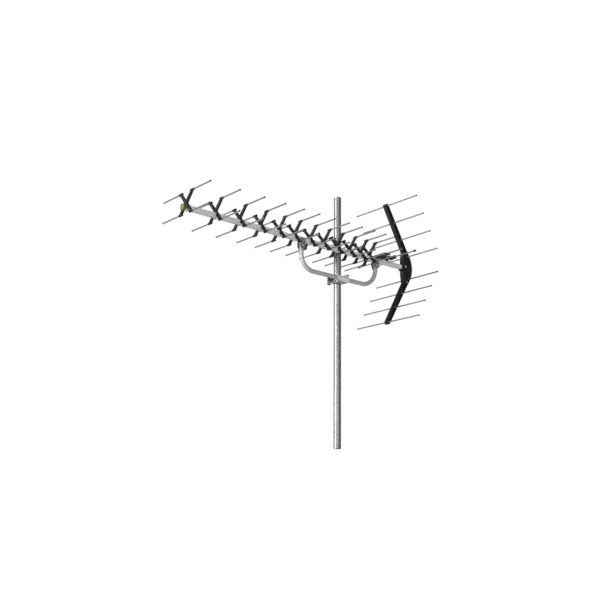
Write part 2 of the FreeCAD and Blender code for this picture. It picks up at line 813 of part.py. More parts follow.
def bracket_profile():
    # Half of the outline from the rear arc's end, over the upper end, to the nose.
    half = reflector_arm_width / 2
    rear_top = arm_point(-half, bracket_end_distance)
    front_top = arm_point(half, bracket_end_distance)
    lean = math.radians(reflector_lean)
    rear_corner_x = reflector_corner_x - half / math.cos(lean)
    tangent = bracket_radius * math.tan(lean)
    arc_end = (rear_corner_x + tangent * math.sin(lean), tangent * math.cos(lean))
    arc_middle = (rear_corner_x + bracket_radius / math.cos(lean) - bracket_radius, 0.0)
    shoulder = (bracket_front_x, bracket_nose_half + bracket_shoulder_rise)
    nose_root = (bracket_front_x, bracket_nose_half)
    nose = (bracket_nose_x, bracket_nose_half - bracket_nose_chamfer)
    return arc_middle, [arc_end, rear_top, front_top, shoulder, nose_root, nose]


def reflector_bracket():
    # The moulded middle: takes the boom's rear end, both arms' tongues and two rods.
    middle, upper = bracket_profile()
    half = bracket_half
    lower = [(x, -z) for x, z in reversed(upper)]
    corners = [Vector(x, -half, z) for x, z in upper + lower]
    edges = [Part.LineSegment(corners[k], corners[k + 1]).toShape() for k in range(len(corners) - 1)]
    edges.append(Part.Arc(corners[-1], Vector(middle[0], -half, 0), corners[0]).toShape())
    body = Part.Face(Part.Wire(edges)).extrude(Vector(0, 2 * half, 0))
    socket = block(boom_rear_x, bracket_nose_x, -half_boom, half_boom, -half_boom, half_boom)
    root = arm_half_width(bracket_end_distance)
    slot_half = root - reflector_flange
    slot_y = tongue_thickness / 2
    slot = leaned(block(-slot_half, slot_half, -slot_y, slot_y, bracket_end_distance - tongue_length,
                        bracket_end_distance + beyond))
    screw_x, screw_z = arm_point(0.0, bracket_end_distance - tongue_length / 2)
    rod_x, rod_z = reflector_rod_places()[0]
    upper_cuts = [slot,
                  cross_hole(reflector_screw_diameter + hole_clearance, screw_x, screw_z),
                  cross_hole(rod_diameter + rod_clearance, rod_x, rod_z)]
    upper_cuts += bracket_pockets()
    lower_cuts = [mirrored_z(cut) for cut in upper_cuts]
    bolt_hole = cross_hole(bolt_diameter + hole_clearance, reflector_bolt_x, reflector_bolt_rise)
    return body.cut([socket, bolt_hole] + upper_cuts + lower_cuts)


def bracket_pockets():
    # Four three-sided pockets on each face, which leave two crossed ribs between them.
    floor_y = bracket_half - bracket_pocket_depth
    rod_z = reflector_rod_places()[0][1]
    left = reflector_corner_x + reflector_arm_width
    right = bracket_front_x - reflector_flange
    low = half_boom + reflector_flange
    high = rod_z - rod_boss_half
    centre = ((left + right) / 2, (low + high) / 2)
    corners = [(left, low), (right, low), (right, high), (left, high)]
    pockets = []
    for k in range(4):
        a = corners[k]
        b = corners[(k + 1) % 4]
        middle = ((a[0] + b[0]) / 2, (a[1] + b[1]) / 2)
        span = math.hypot(b[0] - a[0], b[1] - a[1])
        keep = 1 - 2 * rib_width / span
        triangle = [(middle[0] + (x - middle[0]) * keep, middle[1] + (z - middle[1]) * keep)
                    for x, z in (a, b, centre)]
        pockets.append(prism_along_y(triangle, floor_y, beyond))
        pockets.append(prism_along_y(triangle, -beyond, -floor_y))
    return pockets


def through_screw(x, z, diameter, lip, head_height):
    # A screw with a shallow head on each side, through the whole bracket.
    half = bracket_half
    top = half + head_height
    shank = eight_sided(diameter, Vector(x, -half, z), Vector(x, half, z))
    heads = [eight_sided(diameter + 2 * lip, Vector(x, side * half, z), Vector(x, side * top, z))
             for side in (-1, 1)]
    return joined([shank] + heads)


def reflector_bolts():
    bolts = [through_screw(reflector_bolt_x, reflector_bolt_rise, bolt_diameter, bolt_head_lip,
                           bolt_head_height)]
    x, z = arm_point(0.0, bracket_end_distance - tongue_length / 2)
    for side_z in (z, -z):
        bolts.append(through_screw(x, side_z, reflector_screw_diameter, reflector_screw_lip,
                                   reflector_screw_head_height))
    return bolts


def reflector_rod(x, z):
    half = reflector_rod_half - end_plug_head
    return eight_sided(rod_diameter, Vector(x, -half, z), Vector(x, half, z))


def build_boom_and_directors():
    save_on_boom("boom", [boom()])
    save_on_boom("boom_front_cap", [boom_front_cap()])
    holder = director_holder()
    rods = four_ways(half_rod)
    plugs = four_ways(half_rod_plug)
    rivet = holder_rivet()
    all_plugs = []
    all_rivets = []
    for number, x in enumerate(station_x, start=1):
        save_on_boom("director_holder_%02d" % number, [moved(holder, x)])
        save_on_boom("director_rods_%02d" % number, [moved(rod, x) for rod in rods])
        all_plugs += [moved(plug, x) for plug in plugs]
        all_rivets.append(moved(rivet, x))
    for x, z in reflector_rod_heights():
        plug = end_plug(x, reflector_rod_half, z)
        all_plugs += [plug, mirrored_y(plug)]
    save_on_boom("rod_end_caps", all_plugs)
    save_on_boom("holder_rivets", all_rivets)


def build_feed():
    save_on_boom("feed_housing", [feed_housing()])
    save_on_boom("feed_cover", [feed_cover()])
    save_on_boom("feed_board", [feed_board()])
    contact = feed_contact()
    save_on_boom("feed_contacts", [contact, mirrored_y(contact)])
    save_on_boom("coupling_rod", [coupling_rod()])
    rod = driven_rod()
    save_on_boom("driven_rods", [rod, mirrored_y(rod)])
    cap = driven_rod_cap()
    save_on_boom("driven_rod_caps", [cap, mirrored_y(cap)])
    save_on_boom("coax_connector", [coax_connector()])


def build_reflector():
    arm = reflector_arm()
    save_on_boom("reflector_arm_upper", [arm])
    save_on_boom("reflector_arm_lower", [mirrored_z(arm)])
    save_on_boom("reflector_bracket", [reflector_bracket()])
    save_on_boom("reflector_bolts", reflector_bolts())
    for number, (x, z) in enumerate(reflector_rod_heights(), start=1):
        save_on_boom("reflector_rod_%d" % number, [reflector_rod(x, z)])


def build_support_arm():
    save_on_boom("support_arm", [support_arm()])
    for name, x in (("arm_cheeks_front", arm_front_x), ("arm_cheeks_rear", arm_rear_x)):
        plate = cheek(x)
        save_on_boom(name, [plate, mirrored_y(plate)])
    legs = (arm_front_x, arm_rear_x)
    save_on_boom("cheek_rivets", [cheek_rivet(x) for x in legs])
    save_on_boom("cheek_bolts", [cross_bolt(x) for x in legs])
    seat_y = -half_boom - cheek_thickness
    knobs = [wing_nut_on(Vector(x, seat_y, -cross_bolt_drop), -1, 90 - wing_tilt) for x in legs]
    save_on_boom("cheek_wing_nuts", knobs)


def build_mast_clamp():
    clamp_z = boom_height - arm_drop
    save("mast_pipe", [mast_pipe()])
    save("clamp_saddle", [moved(clamp_saddle(), z=clamp_z)])
    save("clamp_keeper", [moved(clamp_keeper(), z=clamp_z)])
    save("clamp_jaw", [moved(clamp_jaw(), z=clamp_z)])
    centres = clamp_bolt_centres()
    save("clamp_bolts", [moved(clamp_bolt(x, z), z=clamp_z) for x, z in centres])
    seat_y = boom_y + land_gap / 2 + clamp_sheet
    nuts = [wing_nut_on(Vector(x, seat_y, z + clamp_z), 1, wing_tilt) for x, z in centres]
    save("clamp_wing_nuts", nuts)


os.makedirs("parts", exist_ok=True)
build_boom_and_directors()
build_feed()
build_reflector()
build_support_arm()
build_mast_clamp()
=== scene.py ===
import bmesh
import bpy
import json
import math
from mathutils import Matrix, Vector


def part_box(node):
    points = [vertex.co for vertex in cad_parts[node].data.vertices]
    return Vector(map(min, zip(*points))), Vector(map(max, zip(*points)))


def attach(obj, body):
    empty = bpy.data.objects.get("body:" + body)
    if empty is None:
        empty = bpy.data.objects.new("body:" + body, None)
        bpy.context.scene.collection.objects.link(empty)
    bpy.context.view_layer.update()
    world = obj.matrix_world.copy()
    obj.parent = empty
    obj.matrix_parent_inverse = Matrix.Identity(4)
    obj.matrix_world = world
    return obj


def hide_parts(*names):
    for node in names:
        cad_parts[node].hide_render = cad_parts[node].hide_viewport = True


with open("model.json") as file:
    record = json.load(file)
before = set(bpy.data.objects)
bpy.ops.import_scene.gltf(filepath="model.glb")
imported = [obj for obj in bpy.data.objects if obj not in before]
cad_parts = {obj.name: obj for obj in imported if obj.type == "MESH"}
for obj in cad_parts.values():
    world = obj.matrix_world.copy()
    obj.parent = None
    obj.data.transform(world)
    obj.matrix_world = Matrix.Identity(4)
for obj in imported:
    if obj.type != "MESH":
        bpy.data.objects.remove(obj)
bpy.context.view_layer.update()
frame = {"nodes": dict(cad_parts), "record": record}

# A UHF antenna on a short mast. Metres, +Z up, boom along +X, sizes in the dictionaries in millimetres.
mm = 0.001
nodes = frame["nodes"]
scene = bpy.context.scene
scene.view_settings.view_transform = "Standard"

# Node graphs, for shaders and for geometry


class Wire:
    # A socket that does sums, so shader and size formulas read as plain arithmetic.
    def __init__(self, graph, socket):
        self.graph = graph
        self.socket = socket

    def sum(self, operation, other, flipped=False):
        first, second = (other, self) if flipped else (self, other)
        return self.graph.node("ShaderNodeMath", {"operation": operation}, {0: first, 1: second})

    def __add__(self, other):
        return self.sum("ADD", other)

    def __radd__(self, other):
        return self.sum("ADD", other, True)

    def __sub__(self, other):
        return self.sum("SUBTRACT", other)

    def __rsub__(self, other):
        return self.sum("SUBTRACT", other, True)

    def __mul__(self, other):
        return self.sum("MULTIPLY", other)

    def __rmul__(self, other):
        return self.sum("MULTIPLY", other, True)

    def __truediv__(self, other):
        return self.sum("DIVIDE", other)

    def __rtruediv__(self, other):
        return self.sum("DIVIDE", other, True)

    def __neg__(self):
        return self.sum("MULTIPLY", -1.0)

    def __pow__(self, other):
        return self.sum("POWER", other)


class Graph:
    def __init__(self, tree):
        self.tree = tree
        tree.nodes.clear()

    def node(self, kind, settings=None, values=None, out=0):
        made = self.tree.nodes.new(kind)
        for name, value in (settings or {}).items():
            if name == "stops":
                self.setStops(made.color_ramp, value)
            else:
                setattr(made, name, value)
        for key, value in (values or {}).items():
            if isinstance(value, Wire):
                self.tree.links.new(value.socket, made.inputs[key])
            else:
                made.inputs[key].default_value = value
        return Wire(self, made.outputs[out]) if len(made.outputs) else made

    def setStops(self, ramp, stops):
        while len(ramp.elements) < len(stops):
            ramp.elements.new(1.0)
        for element, (place, shade) in zip(ramp.elements, stops):
            element.position = place
            element.color = (*shade, 1.0)

    def mixed(self, share, first, second):
        # Two colours mixed by a share.
        return self.node("ShaderNodeMix", {"data_type": "RGBA"}, {"Factor": share, 6: first, 7: second},
                         out=2)

    def other(self, wire, name):
        # Another output of the node that a wire comes from.
        return Wire(self, wire.socket.node.outputs[name])


# Surfaces, all on Object coordinates


def patternPlace(g, sizes):
    # Coordinates whose unit is a pattern's size, in millimetres along x, y and z.
    coords = g.other(g.node("ShaderNodeTexCoord"), "Object")
    scale = tuple(1.0 / (size * mm) for size in sizes)
    return g.node("ShaderNodeMapping", {}, {"Vector": coords, "Scale": scale})


def grain(g, sizes, detail=3.0, roughness=0.55):
    # Noise whose blobs are about the given sizes.
    place = patternPlace(g, sizes)
    return g.node("ShaderNodeTexNoise", {}, {"Vector": place, "Scale": 1.0, "Detail": detail,
                                             "Roughness": roughness})


def spangle(g, sizes):
    # Crystal patches, each with its own shade.
    place = patternPlace(g, sizes)
    cells = g.node("ShaderNodeTexVoronoi", {}, {"Vector": place, "Scale": 1.0}, out="Color")
    return g.node("ShaderNodeSeparateColor", {}, {"Color": cells})


def tone(g, share, low, high):
    return g.node("ShaderNodeMapRange", {}, {"Value": share, "To Min": low, "To Max": high})


def shades(g, share, stops):
    return g.node("ShaderNodeValToRGB", {"stops": stops}, {"Fac": share})


def surface(name, paint):
    # A material whose principled shader gets what paint(g) returns, and a height as bump.
    material = bpy.data.materials.new(name)
    material.use_nodes = True
    g = Graph(material.node_tree)
    values = paint(g)
    height = values.pop("height", None)
    depth = values.pop("depth", 0.05)
    if height is not None:
        values["Normal"] = g.node("ShaderNodeBump", {}, {"Height": height, "Distance": depth * mm,
                                                         "Strength": 1.0})
    shader = g.node("ShaderNodeBsdfPrincipled", {}, values)
    g.node("ShaderNodeOutputMaterial", {}, {"Surface": shader})
    return material


def galvanisedPipe(g):
    patches = spangle(g, (5, 5, 10))
    bloom = grain(g, (40, 40, 220), 4.0)
    streaks = grain(g, (2.5, 2.5, 160), 2.0)
    share = patches * 0.2 + bloom * 0.5 + streaks * 0.3
    return {"Base Color": shades(g, share, [(0.30, (0.14, 0.155, 0.165)), (0.52, (0.19, 0.205, 0.215)),
                                            (0.75, (0.26, 0.275, 0.285))]),
            "Roughness": tone(g, patches * 0.4 + bloom * 0.6, 0.30, 0.44), "Metallic": 0.55,
            "height": patches * 0.3 + bloom + streaks * 0.3, "depth": 0.08}


def drawnAluminium(low, high, sizes, metal, shine=0.26):
    # Extruded or drawn stock: fine die lines one way, over a faint cloudy oxide.
    def paint(g):
        lines = grain(g, sizes, 2.0)
        cloud = grain(g, (28, 28, 28), 3.0)
        share = lines * 0.55 + cloud * 0.45
        return {"Base Color": shades(g, share, [(0.3, low), (0.7, high)]),
                "Roughness": tone(g, share, shine, shine + 0.2), "Metallic": metal,
                "height": lines, "depth": 0.008}
    return paint


def mouldedPlastic(low, high, shine, depth, chalkAndSheen=None):
    # Spark-eroded texture of a moulded part, with slight flow marks and scuffs, and a lighter chalk grey
    # in marked hollows, a painted highlight with some dust.
    def paint(g):
        texture = grain(g, (0.7, 0.7, 0.7), 2.0)
        flow = grain(g, (22, 22, 9), 3.0)
        scuffs = grain(g, (3.0, 0.5, 1.2), 4.0, 0.7)
        share = flow * 0.6 + scuffs * 0.4
        colour = shades(g, share, [(0.35, low), (0.75, high)])
        if chalkAndSheen:
            # The marked channel floors get a lighter grey: a painted highlight, with some chalk dust.
            dust = g.node("ShaderNodeAttribute", {"attribute_name": "dust"}, out="Fac")
            colour = g.mixed(dust * (0.4 + 0.6 * flow), colour, chalkAndSheen)
        return {"Base Color": colour,
                "Roughness": tone(g, flow * 0.5 + scuffs * 0.5, shine, shine + 0.2),
                "height": texture * 0.7 + scuffs * 0.3, "depth": depth, "Specular IOR Level": 0.32}
    return paint


def platedSteel(stops, low, high, metal=0.9):
    # Zinc or nickel plating: cloudy tint, fine rub marks.
    def paint(g):
        cloud = grain(g, (9, 9, 9), 4.0)
        rub = grain(g, (0.5, 3.0, 0.9), 3.0)
        return {"Base Color": shades(g, cloud * 0.7 + rub * 0.3, stops),
                "Roughness": tone(g, cloud * 0.5 + rub * 0.5, low, high), "Metallic": metal,
                "height": rub * 0.6 + cloud * 0.4, "depth": 0.03}
    return paint


def boardLaminate(g):
    weave = grain(g, (0.6, 0.6, 4.0), 1.0)
    return {"Base Color": shades(g, weave, [(0.3, (0.03, 0.12, 0.05)), (0.7, (0.06, 0.22, 0.10))]),
            "Roughness": tone(g, weave, 0.3, 0.45), "height": weave, "depth": 0.02}


def paleFloor(g):
    dust = grain(g, (600, 600, 600), 2.0)
    seen = g.node("ShaderNodeLightPath")
    glow = g.mixed(seen, (0.0, 0.0, 0.0, 1.0), (1.0, 1.0, 1.0, 1.0))
    return {"Base Color": shades(g, dust, [(0.3, (0.93, 0.93, 0.93)), (0.7, (0.96, 0.96, 0.96))]),
            "Roughness": 0.9, "Emission Color": glow, "Emission Strength": 1.0}


blackLow = (0.006, 0.006, 0.007)
blackHigh = (0.018, 0.018, 0.019)
finishes = {
    "galvanised_pipe": galvanisedPipe,
    "boom_aluminium": drawnAluminium((0.78, 0.78, 0.77), (0.87, 0.87, 0.86), (180, 1.6, 1.6), 0.2),
    "arm_aluminium": drawnAluminium((0.46, 0.46, 0.44), (0.56, 0.56, 0.54), (60, 1.6, 1.6), 0.3, 0.42),
    "element_aluminium": drawnAluminium((0.27, 0.27, 0.27), (0.34, 0.34, 0.34), (0.7, 90, 0.7), 0.75),
    "rivet_aluminium": drawnAluminium((0.55, 0.56, 0.57), (0.72, 0.73, 0.74), (2, 2, 2), 0.6),
    # The black plastic's last colour, a light grey, is a painted highlight with some chalk dust on the
    # holders' channel floors.
    "black_plastic": mouldedPlastic(blackLow, blackHigh, 0.34, 0.05, (0.12, 0.12, 0.12, 1.0)),
    "black_housing_plastic": mouldedPlastic(blackLow, blackHigh, 0.36, 0.05),
    "black_cap_plastic": mouldedPlastic((0.008, 0.008, 0.008), (0.02, 0.02, 0.02), 0.45, 0.04),
    "black_knob_plastic": mouldedPlastic(blackLow, blackHigh, 0.38, 0.05),
    "yellow_plastic": mouldedPlastic((0.12, 0.118, 0.038), (0.21, 0.205, 0.085), 0.40, 0.04),
    "cheek_steel": platedSteel([(0.3, (0.26, 0.27, 0.26)), (0.7, (0.38, 0.39, 0.38))], 0.32, 0.50, 0.8),
    "clamp_steel": platedSteel([(0.3, (0.24, 0.24, 0.20)), (0.5, (0.33, 0.325, 0.28)),
                                (0.7, (0.43, 0.425, 0.38))], 0.36, 0.52, 0.6),
    "bright_steel": platedSteel([(0.3, (0.52, 0.52, 0.51)), (0.7, (0.70, 0.70, 0.68))], 0.22, 0.38),
    "nickel_plate": platedSteel([(0.3, (0.58, 0.55, 0.50)), (0.7, (0.72, 0.70, 0.65))], 0.16, 0.30, 1.0),
    "board_laminate": boardLaminate,
    "contact_brass": platedSteel([(0.3, (0.50, 0.36, 0.12)), (0.7, (0.68, 0.52, 0.20))], 0.25, 0.40),
}
paints = {name: surface(name, paint) for name, paint in finishes.items()}
nodeSlot = {part["node"]: part["material_slot"] for part in frame["record"]["subparts"]}
nodeBody = {node: body for body, members in frame["record"]["behaviour"]["bodies"].items()
            for node in members}
for name, thing in nodes.items():
    thing.data.materials.clear()
    thing.data.materials.append(paints[nodeSlot[name]])
print("materials:", len(paints))


# Camera, lights and floor

view = {
    "place": (2.6175, 2.8405, -0.3673),   # metres from the mast's foot
    "heading": 229.806,                   # degrees from +X, looking up by the pitch
    "pitch": 14.385,
    "roll": 0.667,
    "lens": 55.69,
    "shift": (0.0022, 0.0037),
    "floorDrop": 1.25,
    "floorHalf": 60.0,
    "farthest": 400.0,
}


def aimed(heading, pitch, roll=0.0):
    # A rotation that looks along a heading and a pitch, with a roll about the view line.
    ahead = Vector((math.cos(heading) * math.cos(pitch), math.sin(heading) * math.cos(pitch),
                    math.sin(pitch)))
    right = Vector((math.sin(heading), -math.cos(heading), 0.0))
    up = right.cross(ahead)
    rolledRight = right * math.cos(roll) + up * math.sin(roll)
    rolledUp = up * math.cos(roll) - right * math.sin(roll)
    return Matrix((rolledRight, rolledUp, -ahead)).transposed().to_4x4()


def addCamera():
    data = bpy.data.cameras.new("camera")
    camera = bpy.data.objects.new("camera", data)
    scene.collection.objects.link(camera)
    data.lens = view["lens"]
    data.shift_x, data.shift_y = view["shift"]
    data.clip_end = view["farthest"]
    turn = aimed(math.radians(view["heading"]), math.radians(view["pitch"]), math.radians(view["roll"]))
    camera.matrix_world = Matrix.Translation(view["place"]) @ turn
    scene.camera = camera


def addFloor():
    half = view["floorHalf"]
    low = -view["floorDrop"]
    mesh = bpy.data.meshes.new("floor")
    corners = [(-half, -half, low), (half, -half, low), (half, half, low), (-half, half, low)]
    mesh.from_pydata(corners, [], [(0, 1, 2, 3)])
    floor = bpy.data.objects.new("floor", mesh)
    scene.collection.objects.link(floor)
    mesh.materials.append(surface("pale_floor", paleFloor))


# The way each light travels. The key comes from the photo's left, and the back light is weak, for the
# sides that the photo doesn't show.
suns = {
    "key": {"heading": 172.0, "pitch": -9.0, "strength": 5.0, "spread": 16.0},
    "fill": {"heading": 240.0, "pitch": 8.0, "strength": 2.8, "spread": 60.0},
    "back": {"heading": 40.0, "pitch": -12.0, "strength": 1.0, "spread": 40.0},
}
sky = {"seen": 1.0, "horizon": 0.30, "zenith": 0.06}


def addSun(name, heading, pitch, strength, spread):
    data = bpy.data.lights.new(name, "SUN")
    data.energy = strength
    data.angle = math.radians(spread)
    sun = bpy.data.objects.new(name, data)
    scene.collection.objects.link(sun)
    sun.matrix_world = aimed(math.radians(heading), math.radians(pitch))


def addSky():
    # A white backdrop, seen as white and lighting the object as a dimmer tent.
    world = bpy.data.worlds.new("backdrop")
    world.use_nodes = True
    g = Graph(world.node_tree)
    seen = g.node("ShaderNodeLightPath")
    coords = g.other(g.node("ShaderNodeTexCoord"), "Generated")
    height = g.other(g.node("ShaderNodeSeparateXYZ", {}, {0: coords}), "Z")
    tent = tone(g, height, sky["horizon"], sky["zenith"])
    strength = seen * sky["seen"] + (1.0 - seen) * tent
    backdrop = g.node("ShaderNodeBackground", {}, {"Color": (1.0, 1.0, 1.0, 1.0), "Strength": strength})
    g.node("ShaderNodeOutputWorld", {}, {"Surface": backdrop})
    scene.world = world


addCamera()
addFloor()
addSky()
for name, sun in suns.items():
    addSun(name, **sun)
print("camera, floor and lights set")

# Mesh tools


def weldedCopy(*names):
    # CAD meshes are loose triangles, so a copy is welded before it is worked on.
    bm = bmesh.new()
    for name in names:
        bm.from_mesh(nodes[name].data)
    bmesh.ops.remove_doubles(bm, verts=bm.verts, dist=0.001 * mm)
    return bm


def solidBoxes(name):
    # The lowest and highest corner of each loose solid in a CAD node.
    bm = weldedCopy(name)
    left = set(bm.verts)
    boxes = []
    while left:
        group = [left.pop()]
        for vert in group:
            for edge in vert.link_edges:
                other = edge.other_vert(vert)
                if other in left:
                    left.discard(other)
                    group.append(other)
        low = Vector([min(v.co[k] for v in group) for k in range(3)])
        high = Vector([max(v.co[k] for v in group) for k in range(3)])
        boxes.append((low, high))
    bm.free()
    return boxes


def plainMesh(bm, name):
    mesh = bpy.data.meshes.new(name)
    bm.to_mesh(mesh)
    bm.free()
    return mesh


def settled(thing):
    # The modifiers' result as a plain mesh, with the modifiers gone.
    evaluated = thing.evaluated_get(bpy.context.evaluated_depsgraph_get())
    mesh = bpy.data.meshes.new_from_object(evaluated)
    thing.modifiers.clear()
    thing.data = mesh
    return mesh


def shaded(mesh, angle):
    for face in mesh.polygons:
        face.use_smooth = True
    mesh.set_sharp_from_angle(angle=math.radians(angle))


def addPiece(name, mesh, slotName, body="antenna", standsFor=()):
    thing = bpy.data.objects.new(name, mesh)
    scene.collection.objects.link(thing)
    if not mesh.materials:
        mesh.materials.append(paints[slotName])
    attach(thing, body)
    if standsFor:
        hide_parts(*standsFor)
    return thing


def bevelled(bm, name, radius, segments, sharp, weigh=None):
    # Sharp edges rounded over, all alike or each by the share that weigh(edge) gives it.
    bmesh.ops.dissolve_limit(bm, angle_limit=math.radians(1.0), verts=bm.verts, edges=bm.edges)
    if weigh:
        shares = bm.edges.layers.float.new("bevel_weight_edge")
        for edge in bm.edges:
            if edge.is_manifold and edge.calc_face_angle() > math.radians(sharp):
                edge[shares] = weigh(edge)
    mesh = plainMesh(bm, name)
    thing = bpy.data.objects.new("rough", mesh)
    scene.collection.objects.link(thing)
    shaded(mesh, sharp)
    bevel = thing.modifiers.new("edges", "BEVEL")
    bevel.width = radius * mm
    bevel.segments = segments
    bevel.limit_method = "WEIGHT" if weigh else "ANGLE"
    bevel.angle_limit = math.radians(sharp)
    bevel.use_clamp_overlap = False
    bevel.loop_slide = False
    bevel.harden_normals = True
    finished = settled(thing)
    bpy.data.objects.remove(thing)
    finished.materials.clear()
    return finished


def softened(name, sources, edge, segments=2, sharp=30.0, slotName=None, weigh=None):
    # CAD nodes with their edges rounded over, as moulding, pressing or tumbling leaves them.
    mesh = bevelled(weldedCopy(*sources), name, edge, segments, sharp, weigh)
    return addPiece(name, mesh, slotName or nodeSlot[sources[0]], nodeBody[sources[0]], sources)


def merged(meshes, name):
    bm = bmesh.new()
    for mesh in meshes:
        bm.from_mesh(mesh)
    return plainMesh(bm, name)


def addMerged(name, meshes, slotName, sources, smooth=35.0):
    # One piece made of several meshes, in place of CAD nodes.
    mesh = merged(meshes, name)
    shaded(mesh, smooth)
    addPiece(name, mesh, slotName, standsFor=sources)


# Geometry trees: a form with named sizes, set on places that carry an aim


def newTree(name, sizes, counts=()):
    tree = bpy.data.node_groups.new(name, "GeometryNodeTree")
    g = Graph(tree)
    face = tree.interface
    face.new_socket("places", in_out="INPUT", socket_type="NodeSocketGeometry")
    sockets = {}
    for label in sizes:
        sockets[label] = face.new_socket(label, in_out="INPUT", socket_type="NodeSocketFloat").identifier
    for label in counts:
        sockets[label] = face.new_socket(label, in_out="INPUT", socket_type="NodeSocketInt").identifier
    sockets["finish"] = face.new_socket("finish", in_out="INPUT",
                                        socket_type="NodeSocketMaterial").identifier
    face.new_socket("finished", in_out="OUTPUT", socket_type="NodeSocketGeometry")
    inlet = tree.nodes.new("NodeGroupInput")
    given = {label: Wire(g, inlet.outputs[label]) for label in ["places", "finish", *sizes, *counts]}
    return tree, g, given, sockets


def standOnPlaces(g, given, form):
    # A copy of the form on every place, its Z turned along the place's aim.
    aim = g.node("GeometryNodeInputNamedAttribute", {"data_type": "FLOAT_VECTOR"}, {"Name": "aim"})
    turn = g.node("FunctionNodeAlignRotationToVector", {"axis": "Z"}, {"Vector": aim})
    copies = g.node("GeometryNodeInstanceOnPoints", {}, {"Points": given["places"], "Instance": form,
                                                         "Rotation": turn})
    whole = g.node("GeometryNodeRealizeInstances", {}, {"Geometry": copies})
    painted = g.node("GeometryNodeSetMaterial", {}, {"Geometry": whole, "Material": given["finish"]})
    g.node("NodeGroupOutput", {}, {"finished": painted})


def joinedForms(g, *forms):
    join = g.tree.nodes.new("GeometryNodeJoinGeometry")
    for form in forms:
        g.tree.links.new(form.socket, join.inputs[0])
    return Wire(g, join.outputs[0])


def turnedTree(name, sizes, outline):
    # A form turned about Z: outline(given) gives the first radius, the rings above and those below.
    tree, g, given, sockets = newTree(name, sizes, ["sides"])
    first, above, below = outline(given)
    disc = g.node("GeometryNodeMeshCircle", {"fill_type": "NGON"}, {"Vertices": given["sides"],
                                                                    "Radius": first})

    def grown(mesh, rings):
        top = None
        radius = first
        for rise, nextRadius in rings:
            values = {"Mesh": mesh, "Offset Scale": rise, "Individual": False}
            if top:
                values["Selection"] = top
            raised = g.node("GeometryNodeExtrudeMesh", {"mode": "FACES"}, values)
            top = g.other(raised, "Top")
            mesh = g.node("GeometryNodeScaleElements", {"domain": "FACE"},
                          {"Geometry": raised, "Selection": top, "Scale": nextRadius / radius})
            radius = nextRadius
        return mesh

    upper = grown(disc, above)
    lower = grown(g.node("GeometryNodeFlipFaces", {}, {"Mesh": disc}), below)
    closed = g.node("GeometryNodeMergeByDistance", {}, {"Geometry": joinedForms(g, upper, lower),
                                                        "Distance": 0.0001 * mm})
    standOnPlaces(g, given, closed)
    return tree, sockets


def threadTree(name):
    # A raised helical ridge for screw threads.
    tree, g, given, sockets = newTree(name, ["length", "radius", "pitch", "ridge"])
    turns = given["length"] / given["pitch"]
    line = g.node("GeometryNodeCurveSpiral", {}, {"Resolution": 16, "Rotations": turns,
                                                  "Start Radius": given["radius"],
                                                  "End Radius": given["radius"],
                                                  "Height": given["length"]})
    section = g.node("GeometryNodeCurvePrimitiveCircle", {"mode": "RADIUS"}, {"Resolution": 4,
                                                                              "Radius": given["ridge"]})
    ridge = g.node("GeometryNodeCurveToMesh", {}, {"Curve": line, "Profile Curve": section,
                                                   "Fill Caps": True})
    standOnPlaces(g, given, ridge)
    return tree, sockets


def ribTree(name):
    # A straight rib of the given width, depth and height, set along Z of each place.
    tree, g, given, sockets = newTree(name, ["width", "depth", "height"])
    size = g.node("ShaderNodeCombineXYZ", {}, {"X": given["depth"], "Y": given["width"],
                                               "Z": given["height"]})
    box = g.node("GeometryNodeMeshCube", {}, {"Size": size})
    standOnPlaces(g, given, box)
    return tree, sockets


def grownOn(tree, places, sizes, slotName, smooth=35.0):
    # Runs a tree over (point, aim) places, with sizes in metres, and gives the plain mesh.
    group, sockets = tree
    mesh = bpy.data.meshes.new("places")
    mesh.from_pydata([tuple(point) for point, aim in places], [], [])
    aims = mesh.attributes.new("aim", "FLOAT_VECTOR", "POINT")
    for k, (point, aim) in enumerate(places):
        aims.data[k].vector = aim
    thing = bpy.data.objects.new("places", mesh)
    scene.collection.objects.link(thing)
    modifier = thing.modifiers.new("form", "NODES")
    modifier.node_group = group
    for label, value in sizes.items():
        modifier[sockets[label]] = value
    modifier[sockets["finish"]] = paints[slotName]
    finished = settled(thing)
    bpy.data.objects.remove(thing)
    shaded(finished, smooth)
    return finished


def rodOutline(given):
    # A cut bar with its rims broken.
    rim, radius, length = given["rim"], given["radius"], given["length"]
    return radius - rim, [(rim, radius), (length - 2 * rim, radius), (rim, radius - rim)], []


def plugOutline(given):
    # A flat plug head with a rounded rim and a slightly dished face.
    radius, length, rim = given["radius"], given["length"], given["rim"]
    return radius, [(length - rim, radius), (0.7 * rim, radius - 0.3 * rim), (0.3 * rim, radius - rim),
                    (0.0, 0.6 * radius), (-0.25 * rim, 0.5 * radius)], []


def sleeveCapOutline(given):
    # A blind cap with a domed end and an open mouth.
    radius, length, bore, dome = given["radius"], given["length"], given["bore"], given["dome"]
    above = [(length - dome, radius), (0.5 * dome, 0.93 * radius), (0.3 * dome, 0.75 * radius),
             (0.2 * dome, 0.4 * radius)]
    return radius, above, [(0.0, bore), (-0.8 * length, bore)]


def barrelOutline(given):
    # A tubular rivet's rolled barrel with an open eye.
    radius, length, eye, deep, rim = (given[k] for k in ("radius", "length", "eye", "deep", "rim"))
    above = [(length - rim, radius), (0.7 * rim, radius - 0.3 * rim), (0.3 * rim, radius - rim),
             (0.0, eye), (-deep, eye)]
    return radius, above, []


def headOutline(given):
    # A shallow domed head, six-sided or round by its number of sides.
    radius, length = given["radius"], given["length"]
    above = [(0.55 * length, radius), (0.25 * length, 0.93 * radius), (0.15 * length, 0.75 * radius),
             (0.05 * length, 0.45 * radius)]
    return radius, above, []


def washerOutline(given):
    radius, length, bore = given["radius"], given["length"], given["bore"]
    return radius, [(0.8 * length, radius), (0.2 * length, radius - 0.2 * length), (0.0, bore)], []


